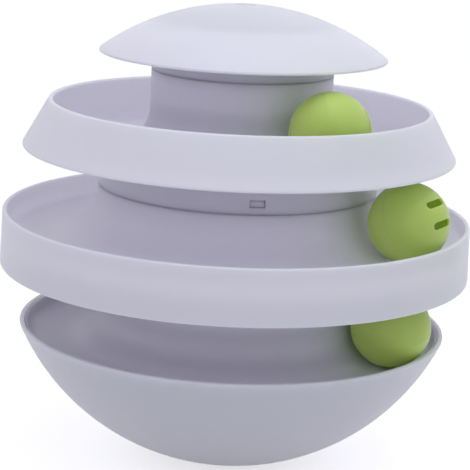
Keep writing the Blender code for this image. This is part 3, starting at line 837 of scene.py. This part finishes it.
class CATTOWER_OT_bowl(bpy.types.Operator):
    """Model the round-bottomed bowl with its ballast seat and centre post"""

    bl_idname = "cat_tower.bowl"
    bl_label = "Bowl"

    def execute(self, context):
        tower = settings()
        shell, ballast = tower.shell, tower.ballast
        plan = Plan()
        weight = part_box("ballast_weight")
        screw_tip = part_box("ballast_screw")[0].z
        seat_z = weight[0].z - shell.clearance
        seat_inner = ballast.radius - ballast.seat_width
        pilot = ballast.screw_radius + shell.clearance
        post_top = weight[1].z - ballast.post_short
        rim_inner = plan.bowl_width(plan.bowl_inside, plan.bowl_rim)
        rim_outer = plan.bowl_width(shell.bowl_radius, plan.bowl_rim)
        line = Outline()
        line.corners(
            (0, screw_tip - shell.clearance),
            (pilot, screw_tip - shell.clearance),
            (pilot, post_top, shell.edge_round),
            (ballast.post_radius, post_top, shell.edge_round),
        )
        line.sphere(plan.bowl_centre, plan.bowl_inside, ballast.post_radius, seat_inner, -1)
        line.corners((seat_inner, seat_z, shell.edge_round), (ballast.radius, seat_z, shell.edge_round))
        ends = (0, shell.lip_round)
        line.sphere(plan.bowl_centre, plan.bowl_inside, ballast.radius, rim_inner, -1, ends)
        ends = (shell.rim_round, 0)
        line.sphere(plan.bowl_centre, shell.bowl_radius, rim_outer, shell.foot_radius, -1, ends)
        line.corner(0, 0)
        mesh = line.turned(tower.fineness.shell)
        moulding("base_bowl", mesh)
        return {"FINISHED"}


class CATTOWER_OT_ballast(bpy.types.Operator):
    """Model the cast weight in the bowl with its washer and screw"""

    bl_idname = "cat_tower.ballast"
    bl_label = "Ballast"

    def execute(self, context):
        self.weight()
        self.washer()
        self.screw()
        return {"FINISHED"}

    def ring(self, node, bore, radius, bevel, segments):
        """A flat ring as high as its CAD node."""
        low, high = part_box(node)
        line = Outline()
        line.corners((bore, low.z, bevel), (bore, high.z, bevel))
        line.corners((radius, high.z, bevel), (radius, low.z, bevel))
        return line.turned(segments)

    def weight(self):
        """The iron weight over the bowl's post."""
        tower = settings()
        bore = tower.ballast.post_radius + tower.shell.clearance
        radius = tower.ballast.radius
        mesh = self.ring("ballast_weight", bore, radius, tower.shell.rim_round, tower.fineness.shell)
        shown("ballast_weight_casting", mesh, cast_iron(), "ballast_iron", "ballast_weight")

    def washer(self):
        """The washer that spreads the screw's hold."""
        tower = settings()
        bore = tower.ballast.screw_radius + tower.shell.clearance
        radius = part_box("ballast_washer")[1].x
        mesh = self.ring("ballast_washer", bore, radius, tower.shell.edge_round / 2, tower.fineness.small)
        shown("ballast_washer_stamping", mesh, plated_steel(), "small_steel", "ballast_washer")

    def screw(self):
        """A round-headed screw with a cross in its head."""
        tower = settings()
        ballast = tower.ballast
        low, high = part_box("ballast_screw")
        seat = high.z - ballast.screw_head_height
        line = Outline()
        line.corners(
            (0, low.z),
            (ballast.screw_radius, low.z + ballast.screw_radius),
            (ballast.screw_radius, seat),
            (ballast.screw_head, seat, tower.shell.edge_round / 2),
            (ballast.screw_head, high.z, ballast.screw_head_height / 2),
            (0, high.z),
        )
        reach = ballast.drive_reach
        deep = high.z - ballast.screw_head_height / 2
        bars = [
            block(-reach, reach, deep, high.z + tower.shell.wall, ballast.drive_width, turn)
            for turn in (0, math.pi / 2)
        ]
        mesh = carved(line.turned(tower.fineness.small), bars)
        shown("ballast_screw_turning", mesh, plated_steel(), "small_steel", "ballast_screw")


class CATTOWER_OT_lower_track(bpy.types.Operator):
    """Model the dish that fills the bowl's mouth, with the neck that carries the middle tray"""

    bl_idname = "cat_tower.lower_track"
    bl_label = "Lower track"

    def execute(self, context):
        tower = settings()
        shell = tower.shell
        plan = Plan()
        floor_z, neck = plan.floors["lower"], plan.necks["lower"]
        under = floor_z - shell.floor
        edge_z = plan.bowl_rim - shell.track_drop
        outside = plan.bowl_inside - shell.clearance
        edge_outer = plan.bowl_width(outside, edge_z)
        edge_inner = edge_outer - shell.track_edge
        slant = (edge_outer - plan.bowl_width(outside, floor_z)) * facet()
        soft = shell.edge_round
        line = Outline()
        foot = plan.bowl_width(outside, under)
        line.sphere(plan.bowl_centre, outside, edge_outer, foot, -1, (shell.lip_round, soft))
        flare_back(line, neck, floor_z, plan.flares["lower"], neck - shell.wall)
        snap_neck(line, neck, plan.seams["middle"], neck - shell.wall)
        line.corners(
            (neck, floor_z, plan.flares["lower"]),
            (edge_inner - slant, floor_z, shell.dish_round),
            (edge_inner, edge_z, shell.lip_round),
        )
        moulding("lower_track", carved(line.turned(tower.fineness.shell), notches(*plan.joins["middle"])))
        return {"FINISHED"}


class CATTOWER_OT_middle_tray(bpy.types.Operator):
    """Model the middle tray, whose straight wall hangs below its floor as a skirt"""

    bl_idname = "cat_tower.middle_tray"
    bl_label = "Middle tray"

    def execute(self, context):
        tower = settings()
        shell = tower.shell
        plan = Plan()
        floor_z, neck, flare = plan.floors["middle"], plan.necks["middle"], plan.flares["middle"]
        seam, seat = plan.seams["middle"], plan.necks["lower"]
        under = floor_z - shell.floor
        skirt_z = under - shell.skirt_drop
        rim_z = floor_z + shell.middle_wall
        rim_inner = self.rim_inside(plan, rim_z)
        rim_outer = rim_inner + shell.wall
        skirt_outer = rim_outer + shell.skirt_flare
        soft = shell.edge_round
        line = Outline()
        line.corners(
            (rim_outer, rim_z, shell.rim_round),
            (skirt_outer, skirt_z, shell.skirt_round),
            (skirt_outer - shell.wall, skirt_z, soft),
            (rim_inner, under, shell.tray_corner),
        )
        flare_back(line, neck, floor_z, flare, seat)
        collar(line, seat, seam)
        snap_neck(line, neck, plan.seams["upper"], seat - shell.wall)
        line.corners(
            (neck, floor_z, flare),
            (rim_inner, floor_z, shell.tray_corner),
            (rim_inner, rim_z, shell.rim_round),
        )
        cutters = windows(*plan.joins["middle"]) + notches(*plan.joins["upper"])
        mesh = carved(line.turned(tower.fineness.shell), cutters)
        soften_windows(mesh, seat, seam)
        moulding("middle_tray", mesh)
        return {"FINISHED"}

    def rim_inside(self, plan, rim_z):
        """Inside radius of the rim, which a ball clears."""
        ball = settings().ball
        below = plan.centres["middle"].z - rim_z
        reach = math.sqrt((ball.radius + ball.middle_rim_gap) ** 2 - below**2)
        return (plan.orbits["middle"] + reach) / facet()


class CATTOWER_OT_upper_tray(bpy.types.Operator):
    """Model the upper tray, whose wall leans in over its ball"""

    bl_idname = "cat_tower.upper_tray"
    bl_label = "Upper tray"

    def execute(self, context):
        tower = settings()
        shell = tower.shell
        plan = Plan()
        floor_z, neck, flare = plan.floors["upper"], plan.necks["upper"], plan.flares["upper"]
        seam, seat = plan.seams["upper"], plan.necks["middle"]
        under = floor_z - shell.floor
        rim_z = floor_z + shell.upper_wall
        thick = shell.wall / math.cos(shell.upper_lean)
        edge_z = under + shell.edge_rise
        edge = self.wall_inside(plan, edge_z) + thick
        inner = neck - shell.wall
        line = Outline()
        line.corners(
            (self.wall_inside(plan, rim_z) + thick, rim_z, shell.rim_round),
            (edge, edge_z, shell.upper_corner),
            (edge - shell.edge_width, under, shell.edge_width / 2),
            (seat, under, shell.edge_round),
        )
        collar(line, seat, seam)
        line.corner(seat - shell.wall, under)
        flare_back(line, neck, floor_z, flare, inner)
        snap_neck(line, neck, plan.seams["cap"], inner)
        line.corners(
            (neck, floor_z, flare),
            (self.wall_inside(plan, floor_z), floor_z, shell.tray_corner),
            (self.wall_inside(plan, rim_z), rim_z, shell.rim_round),
        )
        cutters = windows(*plan.joins["upper"]) + notches(*plan.joins["cap"])
        mesh = carved(line.turned(tower.fineness.shell), cutters)
        soften_windows(mesh, seat, seam)
        moulding("upper_tray", mesh)
        return {"FINISHED"}

    def wall_inside(self, plan, z):
        """Inside radius of the leaning wall, which a ball clears."""
        shell, ball = settings().shell, settings().ball
        rise = z - plan.centres["upper"].z
        reach = ball.radius + ball.upper_rim_gap - rise * math.sin(shell.upper_lean)
        return (plan.orbits["upper"] + reach / math.cos(shell.upper_lean)) / facet()


class CATTOWER_OT_cap(bpy.types.Operator):
    """Model the domed cap and the plug sunk in its crown"""

    bl_idname = "cat_tower.cap"
    bl_label = "Cap"

    def execute(self, context):
        plan = Plan()
        self.dome(plan)
        self.plug(plan)
        return {"FINISHED"}

    def dome(self, plan):
        """The cap with its collar and the socket for the plug."""
        tower = settings()
        shell = tower.shell
        seam, seat = plan.seams["cap"], plan.necks["upper"]
        inside = plan.dome_radius - shell.wall
        socket = shell.plug_radius + shell.clearance
        stem = shell.plug_stem + shell.clearance
        boss = socket + shell.plug_boss
        lip_inner = shell.cap_radius - shell.wall
        soft = shell.edge_round
        line = Outline()
        ends = (soft, shell.cap_lip_round)
        line.sphere(plan.dome_centre, plan.dome_radius, socket, shell.cap_radius, 1, ends)
        line.corner(shell.cap_radius, plan.lip, soft)
        line.sphere(plan.dome_centre, inside, lip_inner, seat, 1)
        collar(line, seat, seam)
        line.sphere(plan.dome_centre, inside, seat - shell.wall, boss, 1)
        line.corners(
            (boss, plan.boss_foot, soft),
            (stem, plan.boss_foot, soft),
            (stem, plan.plug_seat),
            (socket, plan.plug_seat),
        )
        moulding("top_cap", carved(line.turned(tower.fineness.shell), windows(*plan.joins["cap"])))

    def plug(self, plan):
        """The round plug in the crown."""
        tower = settings()
        shell = tower.shell
        head = plan.plug_seat + shell.clearance
        line = Outline()
        line.corners(
            (0, plan.boss_foot),
            (shell.plug_stem, plan.boss_foot, shell.edge_round),
            (shell.plug_stem, head),
            (shell.plug_radius, head),
            (shell.plug_radius, plan.plug_top, shell.edge_round),
            (0, plan.plug_top),
        )
        moulding("crown_plug", line.turned(tower.fineness.small))


class CATTOWER_OT_latches(bpy.types.Operator):
    """Model the six sprung fingers that hook through the collars' windows"""

    bl_idname = "cat_tower.latches"
    bl_label = "Latches"

    def execute(self, context):
        for seam, join in Plan().joins.items():
            self.pair(seam, *join)
        return {"FINISHED"}

    def pair(self, seam, radius, seam_z, azimuth):
        """Two fingers on opposite sides of a neck."""
        tower = settings()
        latch = tower.latch
        outer = finger_face(radius)
        inner = outer - latch.finger_thickness
        hook = radius - latch.hook_shy
        outline = [
            (inner, seam_z - latch.finger_reach),
            (outer, seam_z - latch.finger_reach),
            (outer, seam_z + latch.hook_bottom),
            (hook, seam_z + latch.hook_bottom),
            (hook, seam_z + latch.hook_top - latch.hook_lead),
            (hook - latch.hook_lead, seam_z + latch.hook_top),
            (outer, seam_z + latch.hook_top),
            (outer, seam_z + latch.finger_rise),
            (inner, seam_z + latch.finger_rise),
        ]
        for side, turn in zip("ab", both_sides(azimuth)):
            mesh = placed(plate(outline, latch.hook_width), turned_to(turn))
            convex = [edge for edge in mesh.edges if edge.is_convex]
            moulding(f"{seam}_latch_{side}", softened(mesh, convex, tower.shell.edge_round / 2))


class CATTOWER_OT_balls(bpy.types.Operator):
    """Model the three slotted balls, each of two welded halves"""

    bl_idname = "cat_tower.balls"
    bl_label = "Balls"

    # Azimuth and elevation of each ball's pole, then the ball's turn about it, in degrees.
    POLES = {"lower": (-8.0, 74.0, 0.0), "middle": (52.1, 24.1, 94.0), "upper": (89.8, 12.1, 153.0)}

    def execute(self, context):
        plan = Plan()
        for tier in TIERS:
            azimuth, elevation, spin = (math.radians(turn) for turn in self.POLES[tier])
            tilt = Matrix.Rotation(math.pi / 2 - elevation, 4, "Y")
            turned = turned_to(azimuth) @ tilt @ Matrix.Rotation(spin, 4, "Z")
            place = Matrix.Translation(plan.centres[tier]) @ turned
            mesh = carved(self.outside(), [self.inside(), self.slots()])
            self.soften_slots(mesh)
            halves = [f"{tier}_ball_lipped_half", f"{tier}_ball_rebated_half"]
            shown(f"{tier}_ball_shell", placed(mesh, place), ball_plastic(), "ball_plastic", *halves)
        return {"FINISHED"}

    def outside(self):
        """A ball about the origin with a fine groove where its halves are welded."""
        ball = settings().ball
        groove = math.sqrt(ball.radius**2 - (ball.weld / 2) ** 2)
        line = Outline()
        line.sphere(0, ball.radius, 0, groove, 1)
        line.corner(ball.radius - ball.weld / 2, 0)
        line.sphere(0, ball.radius, groove, 0, -1)
        return line.turned(settings().fineness.ball)

    def inside(self):
        """The hollow of a ball."""
        ball = settings().ball
        hollow = ball.radius - ball.wall
        line = Outline()
        line.sphere(0, hollow, 0, hollow, 1)
        line.sphere(0, hollow, hollow, 0, -1)
        return line.turned(settings().fineness.ball)

    def slots(self):
        """Two parallel round-ended bars right through a ball's poles."""
        ball = settings().ball
        steps = settings().fineness.fillet * 2
        end_round = ball.slot_width / 2
        straight = ball.slot_length / 2 - end_round
        reach = 2 * ball.radius
        mesh = bmesh.new()
        for offset in (-ball.slot_spacing / 2, ball.slot_spacing / 2):
            ring = []
            for end in (1, -1):
                for step in range(steps + 1):
                    turn = (step / steps - 0.5) * math.pi
                    along = end * (straight + end_round * math.cos(turn))
                    across = offset + end * end_round * math.sin(turn)
                    ring.append(mesh.verts.new((along, across, -reach)))
            thickened(mesh, ring, (0, 0, 2 * reach))
        return closed(mesh)

    def soften_slots(self, mesh):
        """Round off the slots' edges on the outside of a ball."""
        ball = settings().ball
        skin = ball.radius - ball.wall / 4

        def at_slot(point):
            return point.length > skin and point.xy.length < ball.slot_length

        softened(mesh, sharp_edges(mesh, SLOT_FOLD, at_slot), ball.slot_round)


class CATTOWER_OT_bells(bpy.types.Operator):
    """Model the bell in each ball and the pea in each bell"""

    bl_idname = "cat_tower.bells"
    bl_label = "Bells"

    def execute(self, context):
        plan = Plan()
        ball = settings().ball
        drop = ball.radius - ball.wall - ball.bell_radius - ball.bell_room
        pea_drop = ball.bell_radius - ball.bell_wall - ball.pea_radius - ball.pea_room
        for tier in TIERS:
            place = Matrix.Translation(plan.centres[tier] - Vector((0, 0, drop)))
            self.bell(tier, place)
            self.pea(tier, place @ Matrix.Translation((0, 0, -pea_drop)))
        return {"FINISHED"}

    def bell(self, tier, place):
        """A round bell with a closed foot and an eye on top."""
        tower = settings()
        ball = tower.ball
        inside = ball.bell_radius - ball.bell_wall
        rim = math.asin(ball.bell_eye / ball.bell_radius)
        inner_rim = math.asin(ball.bell_eye / inside)
        line = Outline()
        line.corner(0, -ball.bell_radius)
        line.arc(0, rim - math.pi)
        line.corner(ball.bell_eye, inside * math.cos(inner_rim))
        line.arc(0, math.pi - inner_rim)
        mesh = placed(line.turned(tower.fineness.small), place)
        shown(f"{tier}_bell_pressing", mesh, bell_brass(), "bell_brass", f"{tier}_bell")

    def pea(self, tier, place):
        """The steel pea that rattles in a bell."""
        radius = settings().ball.pea_radius
        around = settings().fineness.small
        mesh = bmesh.new()
        bmesh.ops.create_uvsphere(mesh, u_segments=around, v_segments=around // 2, radius=radius)
        mesh = closed(placed(mesh, place))
        shown(f"{tier}_bell_pea_bead", mesh, plated_steel(), "small_steel", f"{tier}_bell_pea")


OPERATORS = (
    CATTOWER_OT_stage,
    CATTOWER_OT_bowl,
    CATTOWER_OT_ballast,
    CATTOWER_OT_lower_track,
    CATTOWER_OT_middle_tray,
    CATTOWER_OT_upper_tray,
    CATTOWER_OT_cap,
    CATTOWER_OT_latches,
    CATTOWER_OT_balls,
    CATTOWER_OT_bells,
)


class CATTOWER_PT_panel(bpy.types.Panel):
    """Sidebar panel with the tower's operators"""

    bl_idname = "CATTOWER_PT_panel"
    bl_label = "Cat Tower"
    bl_space_type = "VIEW_3D"
    bl_region_type = "UI"
    bl_category = "Cat Tower"

    def draw(self, context):
        for operator in OPERATORS:
            self.layout.operator(operator.bl_idname)


GROUPS = (
    TowerShell,
    TowerLatch,
    TowerBall,
    TowerBallast,
    TowerFinish,
    TowerStage,
    TowerFineness,
    TowerSettings,
)


def register():
    """Register the settings, the operators and the panel."""
    for made in GROUPS + OPERATORS + (CATTOWER_PT_panel,):
        bpy.utils.register_class(made)
    bpy.types.Scene.cat_tower = PointerProperty(type=TowerSettings)


def unregister():
    """Take back what register did."""
    del bpy.types.Scene.cat_tower
    for made in reversed(GROUPS + OPERATORS + (CATTOWER_PT_panel,)):
        bpy.utils.unregister_class(made)


def main():
    """Build the stage and the tower."""
    register()
    bpy.ops.cat_tower.stage()
    bpy.ops.cat_tower.bowl()
    bpy.ops.cat_tower.ballast()
    bpy.ops.cat_tower.lower_track()
    bpy.ops.cat_tower.middle_tray()
    bpy.ops.cat_tower.upper_tray()
    bpy.ops.cat_tower.cap()
    bpy.ops.cat_tower.latches()
    bpy.ops.cat_tower.balls()
    bpy.ops.cat_tower.bells()


if __name__ == "__main__":
    main()
